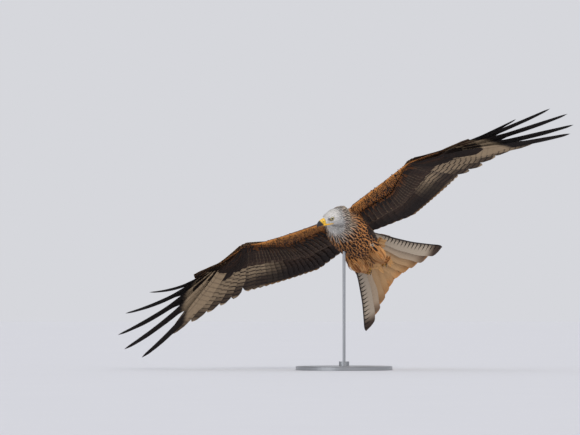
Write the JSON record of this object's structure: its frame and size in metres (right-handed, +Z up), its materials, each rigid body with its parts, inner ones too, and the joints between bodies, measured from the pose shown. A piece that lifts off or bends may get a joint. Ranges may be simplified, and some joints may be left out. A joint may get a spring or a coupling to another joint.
{
  "type": "red kite bird model",
  "caption": "Life-size still model of a red kite banking in flight, wings and forked tail spread and head turned, on a round base with one upright rod.",
  "frame": {"origin": "centre of the underside of the stand's round base", "axes": "+Z up; +X to the right as a viewer sees the bird in the picture, towards the raised left wing; +Y away from that viewer"},
  "size_m": [1.4152, 0.5209, 0.8101],
  "materials": {
    "breast_feathers": "soft matt feathers, rufous with dark centres",
    "head_feathers": "soft matt feathers, pale grey with fine dark streaks",
    "thigh_feathers": "soft matt feathers, warm rufous buff",
    "wing_feathers": "smooth vanes, dark brown with a pale window and black finger tips",
    "tail_feathers": "smooth vanes, rufous above and pale grey buff below with fine bars",
    "yellow_skin": "waxy bare skin, dark claws",
    "horn": "smooth horn, satin",
    "eye": "glossy, pale yellow iris round a black pupil",
    "stand_steel": "fine brushed, satin"
  },
  "bodies": {
    "root": {"torso": "breast_feathers", "neck": "breast_feathers", "head": "head_feathers", "cere": "yellow_skin", "bill_upper": "horn", "bill_lower": "horn", "eye_left": "eye", "eye_right": "eye", "wing_left": "wing_feathers", "wing_right": "wing_feathers", "leg_left": "thigh_feathers", "leg_right": "thigh_feathers", "foot_left": "yellow_skin", "foot_right": "yellow_skin", "tail": "tail_feathers", "stand_base": "stand_steel", "stand_collar": "stand_steel", "stand_rod": "stand_steel"}
  },
  "joints": []
}
